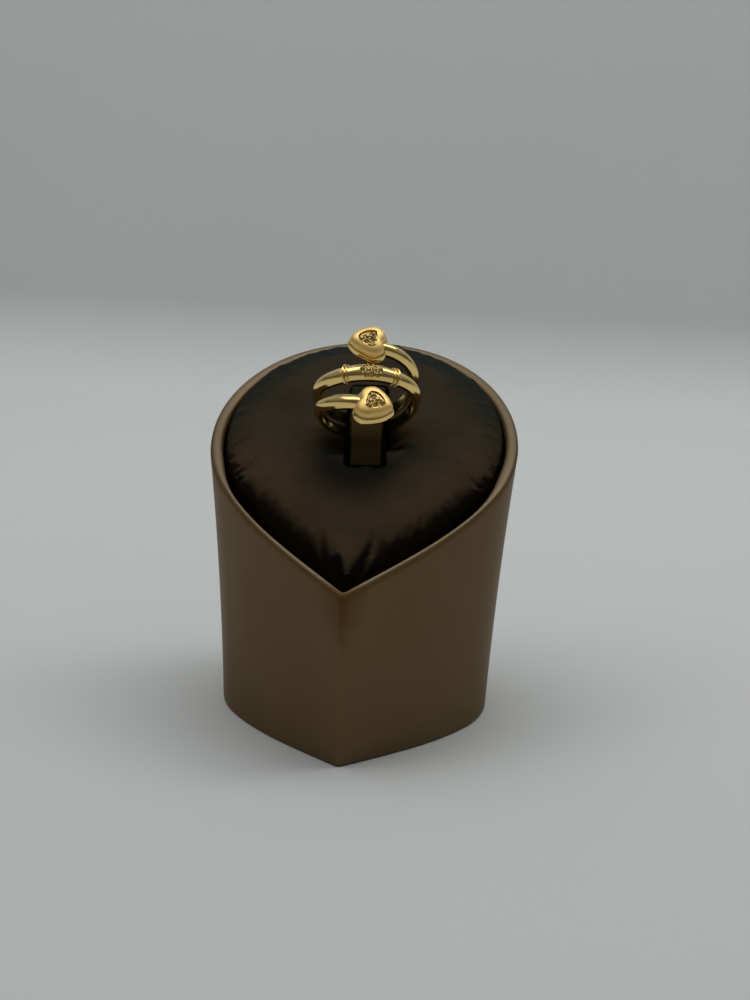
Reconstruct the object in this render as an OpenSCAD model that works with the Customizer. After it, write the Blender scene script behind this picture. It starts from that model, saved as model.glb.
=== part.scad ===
// Gold two-turn wrap ring with a heart at each end, standing on its display stand.
// Millimetres, +Z up. The stand's front edge points along -Y and its round back along +Y.
// The origin is the middle of the part's footprint, on the surface that the base rests on.

/* [Stand column] */
// Width of the column at its rim
top_w = 59.4; // [54:0.2:66]
// From the middle of the round back to the front edge, at the rim
top_reach = 40.8; // [38:0.2:46]
// How far the round back is flattened at its middle, as a share of half its width
back_flat = 0.014; // [0:0.002:0.04]
// Width of the column at its base
base_w = 52.6; // [48:0.2:60]
// From the middle of the round back to the front edge, at the base
base_reach = 36.5; // [34:0.2:44]
// Height of the rim's plane above the middle of the round back
rim_h = 53.6; // [48:0.2:70]
// Slant of the top towards the front, in degrees
slant = 26.8; // [15:0.2:32]
// Half the angle of the front corner, in degrees
corner_half = 49.6; // [44:0.2:54]
// Where the round back turns into the flat flanks, in degrees from the front
flank_start = 58.6; // [52:0.2:66]
// How much the wall draws in at mid height, as a share of its taper
wall_bow = 0.12; // [0:0.01:0.3]
// Radius of the upright front edge
edge_r = 1.3; // [0.8:0.1:2.5]
// Thickness of the rim at the back and the sides
rim_w = 2.4; // [2.3:0.1:3.2]
// Thickness of the rim at the flanks and the front edge
rim_front_w = 1.1; // [1:0.1:2.3]
// Where the rim starts to widen, from the middle of the round back
rim_narrow_y = -19; // [-24:0.5:-15]
// Where the rim has its full thickness, from the middle of the round back
rim_wide_y = -7; // [-12:0.5:0]
// Rounding of the rim's edges
rim_r = 1.1; // [0.8:0.1:1.1]
// Rounding of the base's edge
foot_r = 0.6; // [0.3:0.1:1]
// Depth of the tray that holds the pad
tray_depth = 8; // [6:0.5:12]

/* [Stand pad] */
// Gap between the pad and the tray at the back and the sides
pad_gap = 0.3; // [0.2:0.05:0.6]
// Gap between the pad and the tray at the front edge
pad_front_gap = 2.9; // [0.3:0.1:3.2]
// How far the pad's edge lies under the rim at the front
pad_front_drop = 2.9; // [0.5:0.1:3]
// How far the pad's edge stands over the rim at the back
pad_back_rise = 1.4; // [0.5:0.1:2.4]
// Height of the pad's crown over the rim's plane
pad_crown = 3; // [2:0.1:4]
// Where the crown lies, from the middle of the round back
pad_crown_y = -1; // [-5:0.5:5]
// Squareness of the pad's crown, 2 for a round one
pad_square = 4; // [2:0.1:4]

/* [Stand tab] */
// Width of the tab at its front end
tab_front_w = 6.1; // [5:0.1:8]
// Width of the tab at its back end
tab_back_w = 6.9; // [5:0.1:8]
// Thickness of the tab
tab_t = 1.5; // [1.2:0.1:2]
// Turn of the tab about the pad's normal, in degrees
tab_turn = 2.7; // [-5:0.1:5]
// Free room beside the tab in the pad's slot
slot_room = 0.35; // [0.3:0.05:1]

/* [Ring] */
// Inner diameter of the ring
ring_inner_d = 17.3; // [15:0.1:20]
// Where the ring stands, from the middle of the round back along the stand
ring_foot_y = -2.7; // [-6:0.1:2]
// Where the ring stands, across the stand
ring_x = 0.6; // [-2:0.1:2]
// Height of the ring's centre over the rim's plane
ring_lift = 10.4; // [10:0.1:12]
// How far the ring leans forwards from upright, in degrees
ring_lean = 46.8; // [40:0.1:50]
// Turn of the ring about the upright, in degrees
ring_yaw = 14; // [0:0.5:20]
// Turn of the ring in its own circle, in degrees
ring_roll = -4; // [-10:0.5:10]
// Share of the band's height that is upright wall, under its sloping faces
band_wall = 0.42; // [0.36:0.02:0.5]
// Share of the band's width that is crest, between its sloping faces
crest_w = 0.68; // [0.62:0.01:0.72]
// Share of the band's height that the crest is domed
crest_drop = 0.24; // [0.2:0.01:0.26]

/* [Collars] */
// Angle of each collar from the middle of the bar
collar_at = 29.6; // [26:0.2:32]
// How far the wide bead stands proud
collar_proud = 0.46; // [0.2:0.02:0.5]
// Length of the wide bead
collar_l = 0.6; // [0.5:0.05:1.2]
// How far the narrow bead stands proud
bead_proud = 0.28; // [0.1:0.02:0.3]
// Length of the narrow bead
bead_l = 0.45; // [0.3:0.05:0.7]

/* [Hearts] */
// Length of a heart from its lobes to its tip
heart_l = 7.3; // [6.5:0.1:8.5]
// Width of the far heart over its lobes
far_heart_w = 7.5; // [6.8:0.1:9]
// Width of the near heart over its lobes
near_heart_w = 7.9; // [7:0.1:9]
// Height of a heart's side wall
heart_wall = 1.1; // [0.9:0.1:1.6]
// Whole height of a heart
heart_h = 3.0; // [2.6:0.1:3.4]
// Size of the set field in a heart, as a share of the heart
field_share = 0.48; // [0.46:0.01:0.56]
// Depth of the set field
field_depth = 0.45; // [0.3:0.05:0.6]
// Axial place of the far heart
far_heart_at = -6.2; // [-8:0.1:-5.8]
// Axial place of the near heart
near_heart_at = 7.7; // [6:0.1:8.4]
// Turn of the far heart out of the band's circle, in degrees
far_heart_turn = 12; // [0:1:30]
// Turn of the near heart out of the band's circle, in degrees
near_heart_turn = 21; // [0:1:30]

/* [Stones] */
// Diameter of a heart's stones
heart_stone_d = 1.06; // [0.9:0.01:1.1]
// Spacing of a heart's stones
heart_pitch = 1.24; // [1.2:0.01:1.3]
// Diameter of the bar's stones
bar_stone_d = 0.96; // [0.85:0.01:1]
// Spacing of the bar's stones along the bar, in degrees
bar_pitch = 6.1; // [5.9:0.1:7]
// Angle between the bar's rows of stones, round its crest
bar_row_angle = 33; // [32:0.5:37]
// Free room round each stone in its seat
seat_gap = 0.05; // [0.03:0.01:0.08]
// Radius of the metal beads that hold the stones
grain_r = 0.16; // [0.12:0.01:0.18]

/* [Hidden] */
STONES_A_HEART = 6;
STONES_ON_BAR = 10;
HEARTS = ["far_heart", "near_heart"];

gold = "#e3bd62";
leatherette = "#8a7660";
satin = "#33291f";
stone_white = "#eef2f4";

top_r = top_w / 2;
base_r = base_w / 2;
ring_r = ring_inner_d / 2;
// The footprint's middle lies in front of the round back's middle
back_shift = (top_reach - top_r * (1 - back_flat)) / 2;

// Helpers for points and surfaces

function lerp(a, b, t) = a + (b - a) * t;

function bezier(p, t) =
    pow(1 - t, 3) * p[0] + 3 * pow(1 - t, 2) * t * p[1]
    + 3 * (1 - t) * t * t * p[2] + pow(t, 3) * p[3];

// Smooth value of one column of a table whose first column rises
function table_slope(rows, col, i) =
    let (a = rows[max(i - 1, 0)], b = rows[min(i + 1, len(rows) - 1)])
    (b[col] - a[col]) / (b[0] - a[0]);

function table_row(rows, x, i = 0) =
    (i >= len(rows) - 2 || x < rows[i + 1][0]) ? i : table_row(rows, x, i + 1);

function smooth_value(rows, col, x) =
    let (
        i = table_row(rows, x),
        a = rows[i],
        b = rows[i + 1],
        span = b[0] - a[0],
        t = (x - a[0]) / span,
        sa = table_slope(rows, col, i) * span,
        sb = table_slope(rows, col, i + 1) * span
    )
    (2 * t * t * t - 3 * t * t + 1) * a[col] + (t * t * t - 2 * t * t + t) * sa
    + (3 * t * t - 2 * t * t * t) * b[col] + (t * t * t - t * t) * sb;

// A closed skin over rings of points with equal counts, each seen anticlockwise from its end
module skin(rings) {
    n = len(rings[0]);
    m = len(rings);
    points = [for (r = rings) each r];
    sides = [
        for (j = [0:m - 2]) for (i = [0:n - 1])
            let (a = j * n + i, b = j * n + (i + 1) % n)
            each [[a, a + n, b + n], [a, b + n, b]]
    ];
    first = [for (i = [0:n - 1]) i];
    last = [for (i = [n - 1:-1:0]) (m - 1) * n + i];
    polyhedron(points, concat([first], sides, [last]), convexity = 8);
}

// The stand's plan: a round back, two flanks and a front edge with a small radius

back_steps = 34;

function drop_plan(r, reach, fillet) =
    let (
        tip = [0, fillet - reach],
        start = r * [sin(flank_start), -cos(flank_start)],
        end = tip + fillet * [cos(corner_half), -sin(corner_half)],
        hold = 0.35 * norm(end - start),
        flank = [
            end,
            end + hold * [sin(corner_half), cos(corner_half)],
            start - hold * [cos(flank_start), sin(flank_start)],
            start
        ],
        right = [for (t = [1 / 9:1 / 9:8.5 / 9]) bezier(flank, t)],
        edge = [for (a = [-90 - (90 - corner_half):(90 - corner_half) / 2:0.1 - corner_half])
            tip + fillet * [cos(a), sin(a)]],
        back = [for (i = [0:back_steps])
            let (
                a = flank_start - 90 + i * (360 - 2 * flank_start) / back_steps,
                deep = sin(a) > 0 ? 1 - back_flat * pow(sin(a), 4) : 1
            )
            r * [cos(a), deep * sin(a)]]
    )
    concat(edge, right, back, [for (i = [len(right) - 1:-1:0]) [-right[i].x, right[i].y]]);

// The top's plan, moved inwards by one inset round the back and by another along the flanks
function inner_plan(side, front) =
    let (
        reach = top_reach - front / sin(corner_half),
        fillet = max(edge_r - front / 2, 0.4),
        back = drop_plan(top_r - side, reach, fillet),
        flanks = drop_plan(top_r - front, reach, fillet)
    )
    [for (i = [0:len(back) - 1])
        let (t = min(max((back[i].y - rim_narrow_y) / (rim_wide_y - rim_narrow_y), 0), 1))
        lerp(flanks[i], back[i], t * t * (3 - 2 * t))];

// A plan across the rim, from its outer side at 0 to its inner side at 1
function rim_plan(share) = inner_plan(share * rim_w, share * rim_front_w);

// A plan laid on the slanted plane and lifted by rise
function on_slant(plan, rise) = [for (p = plan) [p.x, p.y, rim_h + p.y * tan(slant) + rise]];

module on_base() {
    translate([0, back_shift, 0]) children();
}

module stand_column() {
    base = drop_plan(base_r, base_reach, edge_r);
    foot = drop_plan(base_r - foot_r, base_reach - foot_r / sin(corner_half), edge_r / 2);
    top = rim_plan(0);
    wall_steps = 5;
    wall = [for (j = [0:wall_steps])
        let (t = j / wall_steps, w = t - 4 * wall_bow * t * (1 - t))
        [for (i = [0:len(top) - 1])
            let (p = lerp(base[i], top[i], w), z = rim_h + top[i].y * tan(slant) - rim_r)
            [p.x, p.y, lerp(foot_r, z, t)]]];
    soft = rim_r / rim_w;
    rim = concat(
        [for (a = [30:30:90]) on_slant(rim_plan(soft * (1 - cos(a))), rim_r * (sin(a) - 1))],
        [for (a = [90:30:180]) on_slant(rim_plan(1 - soft * (1 + cos(a))), rim_r * (sin(a) - 1))]
    );
    floor_ring = on_slant(rim_plan(1), -tray_depth);
    color(leatherette) on_base()
        skin(concat([[for (p = foot) [p.x, p.y, 0]]], wall, rim, [floor_ring]));
}

// The pad's height over the rim's plane, at a share of the way from its crown to its edge at y
function pad_rise(share, y) =
    let (
        back = (y + top_reach) / (top_reach + top_r),
        drop = lerp(pad_front_drop, -pad_back_rise, back)
    )
    (pad_crown + drop) * pow(1 - pow(share, pad_square), 0.5) - drop;

module stand_pad() {
    plan = inner_plan(rim_w + pad_gap, rim_front_w + pad_front_gap);
    crown = [0, pad_crown_y];
    shares = [1, 0.985, 0.95, 0.89, 0.8, 0.66, 0.48, 0.25, 0.06];
    dome = [for (s = shares) [for (p = plan)
        let (q = lerp(crown, p, s)) [q.x, q.y, rim_h + q.y * tan(slant) + pad_rise(s, p.y)]]];
    color(satin) difference() {
        on_base() skin(concat([on_slant(plan, pad_gap - tray_depth)], dome));
        ring_trough();
        tab_slot();
    }
}

// The tab's side view: a row for each section
// [distance behind the ring's foot along the slant, height of its top over the rim's plane]
tab_rows = [
    [-9.1, 1.7],
    [-7.6, 2.2],
    [-5.4, 2.9],
    [-2.6, 4.1],
    [2.6, 6.0],
    [6.5, 6.9],
    [10.5, 6.0],
    [13.5, 3.8],
    [15.2, 1.2],
    [15.9, -1.6],
];

module on_slant_at_ring() {
    on_base()
        translate([ring_x, ring_foot_y, rim_h + ring_foot_y * tan(slant)])
            rotate([slant, 0, 0]) rotate([0, 0, tab_turn]) children();
}

function tab_angle(s) =
    let (a = smooth_value(tab_rows, 1, s - 0.05), b = smooth_value(tab_rows, 1, s + 0.05))
    atan((b - a) / 0.1);

module stand_tab() {
    first_s = tab_rows[0][0];
    last_s = tab_rows[len(tab_rows) - 1][0];
    steps = 22;
    side_r = tab_t * 0.42;
    rings = [for (j = [0:steps])
        let (
            s = lerp(first_s, last_s, j / steps),
            z = smooth_value(tab_rows, 1, s),
            a = tab_angle(s),
            round_in = j == 0 ? 0.5 : j == 1 ? 0.1 : 0,
            w = lerp(tab_front_w, tab_back_w, j / steps) / 2 - round_in,
            t = tab_t - round_in
        )
        [for (k = [0:11])
            let (
                c = floor(k / 3),
                e = (k % 3) * 45 + c * 90,
                sx = (c == 0 || c == 3) ? 1 : -1,
                sz = c < 2 ? 1 : -1,
                u = sx * (w - side_r) + side_r * cos(e),
                v = sz * (t / 2 - side_r) + side_r * sin(e) - tab_t / 2
            )
            [u, s - v * sin(a), z + v * cos(a)]]];
    color(satin) on_slant_at_ring() skin([for (i = [steps:-1:0]) rings[i]]);
}

// The slot in the pad that the tab lies in
module tab_slot() {
    front = tab_rows[0][0] - 0.6;
    back = tab_rows[len(tab_rows) - 1][0] + slot_room;
    on_slant_at_ring() translate([-tab_back_w / 2 - slot_room, front, -2.2])
        cube([tab_back_w + 2 * slot_room, back - front, 12]);
}

// The dent that the ring's lower bands stand in
module ring_trough() {
    at_ring() rotate([90, 0, 0])
        cylinder(r = ring_r + band_foot_h + pad_gap, h = 2 * trough_half, center = true, $fn = 96);
}

// The ring, in its own frame: X to the right, Z to its top, and its axis along -Y

// The band's size, a row for each section on one half, the same on the other
// [turn from the bar's middle, width, height]
band_rows = [
    [0, 3.5, 1.75],
    [60, 2.9, 1.7],
    [90, 2.65, 1.55],
    [135, 2.3, 1.3],
    [180, 2.05, 1.2],
    [225, 2.2, 1.3],
    [270, 2.3, 1.55],
    [300, 2.75, 1.7],
    [330, 2.8, 1.75],
    [352, 2.6, 1.65],
];
// The band's path, a row for each section
// [turn from the bar's middle, axial place]
wrap_rows = [
    [-352, -5.6],
    [-330, -5.35],
    [-300, -4.55],
    [-270, -3.55],
    [-225, -2.3],
    [-180, -1.6],
    [-90, -2.0],
    [-30, -0.5],
    [0, 0],
    [30, 0.45],
    [90, 0.6],
    [180, 1.55],
    [225, 1.5],
    [270, 1.7],
    [300, 3.55],
    [330, 5.4],
    [352, 6.8],
];
wrap_end = wrap_rows[len(wrap_rows) - 1][0];
band_foot_h = band_rows[4][2];
trough_half = 3.3;

module at_ring() {
    on_base()
        translate([
            ring_x,
            ring_foot_y - ring_lift * sin(slant),
            rim_h + ring_foot_y * tan(slant) + ring_lift * cos(slant)
        ])
            rotate([ring_lean, 0, ring_yaw]) rotate([0, ring_roll, 0]) children();
}

// Radius of the domed crest, from the band's width and height
function crest_r(w, h) = let (a = crest_w * w / 2, s = crest_drop * h) (a * a + s * s) / (2 * s);

// The band's section: [across, outwards], a domed crest between sloping faces, over low walls
function band_section(w, h) =
    let (
        r = crest_r(w, h),
        half = asin(crest_w * w / 2 / r),
        soft = 0.2,
        foot = [[soft - w / 2, 0], [-w / 2, soft], [-w / 2, band_wall * h]],
        crest = [for (i = [0:5]) let (a = half * (i / 2.5 - 1)) [r * sin(a), h - r + r * cos(a)]]
    )
    concat(foot, crest, [for (i = [2:-1:0]) [-foot[i].x, foot[i].y]]);

// How far the collars swell the band at a turn: a wide bead and a narrow one inside it
function swell(turn) =
    let (
        along = (abs(turn) - collar_at) * PI / 180 * (ring_r + 1),
        wide = 1 - pow(2 * along / collar_l, 2),
        narrow = 1 - pow(2 * (along + collar_l / 2 + bead_l / 2) / bead_l, 2)
    )
    wide > 0 ? collar_proud * sqrt(wide) : narrow > 0 ? bead_proud * sqrt(narrow) : 0;

// The turns where the wrap has a section: evenly spaced, and close together at the collars
collar_step = collar_l / 8 * 180 / PI / (ring_r + 1);
collar_turns = [for (k = [-10:4]) collar_at + k * collar_step];
wrap_step = 8;
wrap_turns = concat(
    [for (t = [-wrap_end:wrap_step:-collar_at - wrap_step]) t],
    [for (i = [len(collar_turns) - 1:-1:0]) -collar_turns[i]],
    [for (t = [-16:wrap_step:16]) t],
    collar_turns,
    [for (t = [wrap_end - wrap_step * floor((wrap_end - collar_at) / wrap_step - 1):wrap_step:wrap_end])
        t]
);

function wrap_ring(turn) =
    let (
        at = smooth_value(wrap_rows, 1, turn),
        e = swell(turn),
        w = smooth_value(band_rows, 1, abs(turn)) + 2 * e,
        h = smooth_value(band_rows, 2, abs(turn)) + e,
        rise = smooth_value(wrap_rows, 1, turn + 0.5) - smooth_value(wrap_rows, 1, turn - 0.5),
        pitch = atan(rise / (PI / 180 * (ring_r + h / 2)))
    )
    [for (p = band_section(w, h))
        let (r = ring_r + p[1], a = turn - p[0] * sin(pitch) / r * 180 / PI)
        [r * sin(a), -(at + p[0] * cos(pitch)), r * cos(a)]];

module wrap() {
    skin([for (t = wrap_turns) wrap_ring(t)]);
}

// Hearts, in their own frame: X to the tip, Z outwards, the base on the finger's circle

// One side of the heart's plan: half of the blunt tip, a bulging flank and a round lobe
function heart_side(w) =
    let (
        lobe_r = w * 0.31,
        lobe = [lobe_r - heart_l / 2, w / 2 - lobe_r],
        flank_turn = 64,
        last_turn = 213,
        tip_half = 58,
        tip_r = 1.5,
        tip_middle = [heart_l / 2 - tip_r, 0],
        lobe_end = lobe + lobe_r * [cos(flank_turn), sin(flank_turn)],
        tip_start = tip_middle + tip_r * [cos(90 - tip_half), sin(90 - tip_half)],
        hold = 0.42 * norm(tip_start - lobe_end),
        flank = [
            tip_start,
            tip_start + hold * [-cos(tip_half), sin(tip_half)],
            lobe_end + hold * [sin(flank_turn), -cos(flank_turn)],
            lobe_end
        ]
    )
    concat(
        [tip_middle + tip_r * [cos(12), sin(12)]],
        [for (t = [0:0.25:0.75]) bezier(flank, t)],
        [for (k = [0:8]) let (a = lerp(flank_turn, last_turn, k / 8)) lobe + lobe_r * [cos(a), sin(a)]]
    );

function heart_plan(w) =
    let (side = heart_side(w), last = side[len(side) - 1])
    concat(
        side,
        [[last.x + 0.2, 0]],
        [for (i = [len(side) - 1:-1:0]) [side[i].x, -side[i].y]]
    );

heart_middle = [0.1, 0];

// A plan with its notch and tip rounded off, in a number of passes
function softened(plan, passes) =
    let (n = len(plan))
    passes == 0 ? plan : softened([for (i = [0:n - 1])
        (plan[(i + n - 1) % n] + 2 * plan[i] + plan[(i + 1) % n]) / 4], passes - 1);

// The plan drawn in by a share, and rounder the nearer it is to the field
function heart_ring(w, share, z) =
    let (
        plan = heart_plan(w),
        soft = softened(plan, 4),
        t = min(max((0.97 - share) / 0.4, 0), 1)
    )
    [for (i = [0:len(plan) - 1])
        let (q = lerp(heart_middle, lerp(plan[i], soft[i], t * t * (3 - 2 * t)), share))
        [q.x, q.y, z]];

// Rows of [share of the plan, height as a share of the wall] from the base to the groove
heart_side_wall = [
    [0.93, 0],
    [1, 0.24],
    [0.955, 0.6],
    [0.9, 0.95],
    [0.862, 0.93],
];
// Rows of [share of the plan, height as a share of the dome] from the groove to the field
heart_dome = [
    [0.866, 0.02],
    [0.89, 0.14],
    [0.888, 0.33],
    [0.85, 0.54],
    [0.785, 0.73],
    [0.67, 0.9],
];

module heart_body(which) {
    w = which == 0 ? far_heart_w : near_heart_w;
    dome_h = heart_h - heart_wall;
    field_z = heart_h - field_depth;
    skin(concat(
        [for (r = heart_side_wall) heart_ring(w, r[0], r[1] * heart_wall)],
        [for (r = heart_dome) heart_ring(w, r[0], heart_wall + r[1] * dome_h)],
        [
            heart_ring(w, field_share + 0.04, heart_h - 0.02),
            heart_ring(w, field_share, heart_h - 0.08),
            heart_ring(w, field_share - 0.03, field_z)
        ]
    ));
}

// Which heart: 0 is the far one and 1 the near one
module at_heart(which) {
    at = which == 0 ? far_heart_at : near_heart_at;
    turn = which == 0 ? -1 : 0;
    spin = which == 0 ? 180 - far_heart_turn : -near_heart_turn;
    rotate([0, turn, 0]) translate([0, -at, ring_r]) rotate([0, 0, spin]) children();
}

// A heart's stones in rows of three, two and one
heart_row = heart_pitch * sin(60);
heart_stone_places = [
    [-heart_row, -heart_pitch],
    [-heart_row, 0],
    [-heart_row, heart_pitch],
    [0, -heart_pitch / 2],
    [0, heart_pitch / 2],
    [heart_row, 0],
];
// The beads between and round a heart's stones
heart_grain_places = [
    for (side = [-1, 1]) each [
        [-heart_row * 2 / 3, side * heart_pitch / 2],
        [-heart_row * 4 / 3, side * heart_pitch / 2],
        [-heart_row / 3, side * heart_pitch],
        [heart_row * 2 / 3, side * heart_pitch / 2],
    ],
    [-heart_row / 3, 0],
    [heart_row / 3, 0],
];

module at_heart_place(which, p) {
    at_heart(which) translate([heart_middle.x + p.x, p.y, heart_h - field_depth + 0.1]) children();
}

// A place on the bar's crest: turn along the bar, angle round the crest
module at_bar_place(p) {
    w = band_rows[0][1];
    h = band_rows[0][2];
    r = crest_r(w, h);
    at = smooth_value(wrap_rows, 1, p[0]);
    rotate([0, p[0], 0]) translate([0, -at, ring_r + h - r]) rotate([p[1], 0, 0])
        translate([0, 0, r]) children();
}

// The bar's stones: four along its crown and three on each side
bar_stone_places = concat(
    [for (k = [-1.5:1:1.5]) [k * bar_pitch, 0]],
    [for (side = [-1, 1]) for (k = [-1:1:1]) [k * bar_pitch, side * bar_row_angle]]
);
bar_grain_places = concat(
    [for (side = [-1, 1]) for (k = [-1:1:1]) [k * bar_pitch, side * bar_row_angle * 0.34]],
    [for (side = [-1, 1]) for (k = [-1.5:1:1.5]) [k * bar_pitch, side * bar_row_angle * 0.66]],
    [for (side = [-1, 1]) for (k = [-0.5, 0.5]) [k * bar_pitch, side * bar_row_angle * 1.36]]
);

// A cut stone with its girdle at z = 0: table, crown, girdle, pavilion and culet
module cut_stone(d) {
    r = d / 2;
    table = [for (i = [0:7]) [0.56 * r * cos(45 * i), 0.56 * r * sin(45 * i), 0.34 * r]];
    upper = [for (i = [0:7]) [r * cos(45 * i + 22.5), r * sin(45 * i + 22.5), 0.04 * r]];
    lower = [for (p = upper) [p.x, p.y, -0.04 * r]];
    crown = [for (i = [0:7]) let (n = (i + 1) % 8) each [[i, n, 8 + i], [n, 8 + n, 8 + i]]];
    girdle = [for (i = [0:7]) let (n = (i + 1) % 8) [8 + i, 8 + n, 16 + n, 16 + i]];
    pavilion = [for (i = [0:7]) let (n = (i + 1) % 8) [16 + i, 16 + n, 24]];
    polyhedron(
        concat(table, upper, lower, [[0, 0, -0.86 * r]]),
        concat([[for (i = [7:-1:0]) i]], crown, girdle, pavilion)
    );
}

// The seat cut for a stone of diameter d, with its girdle at z = 0
module seat(d) {
    r = d / 2 + seat_gap;
    shoulder = -0.06 * d;
    rotate_extrude($fn = 16)
        polygon([[0, shoulder - 0.86 * r], [r, shoulder], [r, d], [0, d]]);
}

// A small bead of metal raised beside the stones
module grain() {
    hull() {
        translate([0, 0, -0.2]) cylinder(r = grain_r, h = 0.2, $fn = 6);
        cylinder(r = grain_r * 0.55, h = grain_r * 0.8, $fn = 6);
    }
}

module ring() {
    color(gold) union() {
        at_ring() {
            difference() {
                union() {
                    wrap();
                    for (which = [0, 1]) at_heart(which) heart_body(which);
                }
                for (which = [0, 1], p = heart_stone_places) at_heart_place(which, p) seat(heart_stone_d);
                for (p = bar_stone_places) at_bar_place(p) seat(bar_stone_d);
            }
            for (which = [0, 1], p = heart_grain_places) at_heart_place(which, p) grain();
            for (p = bar_grain_places) at_bar_place(p) grain();
        }
    }
}

module heart_stone(which, i) {
    color(stone_white) at_ring() at_heart_place(which, heart_stone_places[i - 1])
        cut_stone(heart_stone_d);
}

module bar_stone(i) {
    color(stone_white) at_ring() at_bar_place(bar_stone_places[i - 1]) cut_stone(bar_stone_d);
}

ring();
for (which = [0, 1], i = [1:STONES_A_HEART])
    heart_stone(which, i);
for (i = [1:STONES_ON_BAR])
    bar_stone(i);
stand_column();
stand_pad();
stand_tab();
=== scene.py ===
import math

import bmesh
import bpy
import numpy as np
from mathutils import Matrix, Vector


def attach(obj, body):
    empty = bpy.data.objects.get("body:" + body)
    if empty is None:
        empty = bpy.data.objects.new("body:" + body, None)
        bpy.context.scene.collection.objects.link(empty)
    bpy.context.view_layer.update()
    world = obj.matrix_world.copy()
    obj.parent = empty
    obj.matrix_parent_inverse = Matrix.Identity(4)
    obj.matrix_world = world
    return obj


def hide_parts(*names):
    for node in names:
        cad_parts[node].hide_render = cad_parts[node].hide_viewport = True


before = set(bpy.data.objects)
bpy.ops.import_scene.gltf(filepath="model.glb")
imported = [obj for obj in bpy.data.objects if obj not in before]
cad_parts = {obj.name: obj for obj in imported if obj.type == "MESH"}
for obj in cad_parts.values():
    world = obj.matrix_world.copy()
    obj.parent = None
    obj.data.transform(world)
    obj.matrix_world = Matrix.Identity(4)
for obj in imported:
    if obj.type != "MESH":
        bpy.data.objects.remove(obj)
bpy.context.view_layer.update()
scene = bpy.context.scene
MM = 0.001

# Camera
# The photograph was taken by hand from a little over the ring's height and a step to the right,
# with the camera rolled slightly. The lens is that of a 54 mm camera on 36 mm film.
CAMERA_PLACE = (19.1, -279.8, 106.3)
CAMERA_PITCH = 12.9
CAMERA_TURN = 3.33
CAMERA_ROLL = 2.41
FILM_W = 36
LENS = 54

camera = bpy.data.objects.new("camera", bpy.data.cameras.new("camera"))
camera.data.sensor_width = FILM_W
camera.data.lens = LENS
camera.data.clip_start = 10 * MM
camera.matrix_world = (
    Matrix.Translation(Vector(CAMERA_PLACE) * MM)
    @ Matrix.Rotation(math.radians(CAMERA_TURN), 4, "Z")
    @ Matrix.Rotation(math.radians(90 - CAMERA_PITCH), 4, "X")
    @ Matrix.Rotation(math.radians(CAMERA_ROLL), 4, "Z")
)
scene.collection.objects.link(camera)
scene.camera = camera

# Stand column
# A hollow box of card with a drop-shaped plan, cut off at a slant and covered with bronze pearl
# leatherette that is turned over the rim into the tray. It leans in a little towards its base.
TOP_W = 59.4
TOP_REACH = 40.8
BACK_FLAT = 0.014
BASE_W = 52.6
BASE_REACH = 36.5
RIM_H = 53.6
SLANT = math.radians(26.8)
CORNER_HALF = 49.6
FLANK_START = 58.6
WALL_BOW = 0.12
EDGE_R = 1.3
RIM_W = 2.4
RIM_FRONT_W = 1.1
RIM_NARROW_Y = -19
RIM_WIDE_Y = -7
RIM_R = 1.1
FOOT_R = 0.6
FOOT_REACH = 1.3  # how much further the front edge steps in than the flanks
TRAY_DEPTH = 8
FLANK_HOLD = 0.35  # length of the flank curve's handles, as a share of its chord

TOP_R = TOP_W / 2
BACK_SHIFT = (TOP_REACH - TOP_R * (1 - BACK_FLAT)) / 2
APEX = Vector((0, BACK_SHIFT - TOP_REACH, RIM_H - TOP_REACH * math.tan(SLANT)))


def lerp(a, b, t):
    return a + (b - a) * t


def arc(middle, radius, start, end, points):
    """Points on an arc between two angles in degrees."""
    turns = np.radians(np.linspace(start, end, points))
    return np.array(middle) + radius * np.stack([np.cos(turns), np.sin(turns)], axis=1)


def bezier(p, points):
    """Points on a cubic curve, without its two ends."""
    t = np.linspace(0, 1, points + 2)[1:-1, None]
    return (
        (1 - t) ** 3 * p[0] + 3 * (1 - t) ** 2 * t * p[1]
        + 3 * (1 - t) * t**2 * p[2] + t**3 * p[3]
    )


def turned(degrees):
    """The unit vector at an angle."""
    return np.array([math.cos(math.radians(degrees)), math.sin(math.radians(degrees))])


def drop_plan(radius, reach, fillet):
    """The stand's plan: a small front edge, a flank, the round back and the other flank."""
    tip = np.array([0, fillet - reach])
    end = tip + fillet * turned(-CORNER_HALF)
    start = radius * turned(FLANK_START - 90)
    hold = FLANK_HOLD * np.linalg.norm(end - start)
    flank = [
        end,
        end + hold * turned(90 - CORNER_HALF),
        start - hold * turned(FLANK_START),
        start,
    ]
    edge = arc(tip, fillet, CORNER_HALF - 180, -CORNER_HALF, 13)
    right = bezier(flank, 26)
    back = arc((0, 0), radius, FLANK_START - 90, 270 - FLANK_START, 131)
    deep = np.clip(back[:, 1] / radius, 0, 1)
    back[:, 1] *= 1 - BACK_FLAT * deep**4
    return np.concatenate([edge, right, back, right[::-1] * (-1, 1)])


def inner_plan(side, front):
    """The top's plan, moved in by one inset round the back and by another along the flanks."""
    reach = TOP_REACH - front / math.sin(math.radians(CORNER_HALF))
    edge_r = max(EDGE_R - front / 2, 0.4)
    back = drop_plan(TOP_R - side, reach, edge_r)
    flanks = drop_plan(TOP_R - front, reach, edge_r)
    t = np.clip((back[:, 1:] - RIM_NARROW_Y) / (RIM_WIDE_Y - RIM_NARROW_Y), 0, 1)
    return lerp(flanks, back, t * t * (3 - 2 * t))


def slant_height(y):
    """Height of the rim's plane at a distance behind the middle of the round back."""
    return RIM_H + y * math.tan(SLANT)


def placed(plan, height):
    """A plan's points in space, at one height or at a height each."""
    heights = np.broadcast_to(height, len(plan))
    return np.column_stack([plan[:, 0], plan[:, 1] + BACK_SHIFT, heights])


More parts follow.
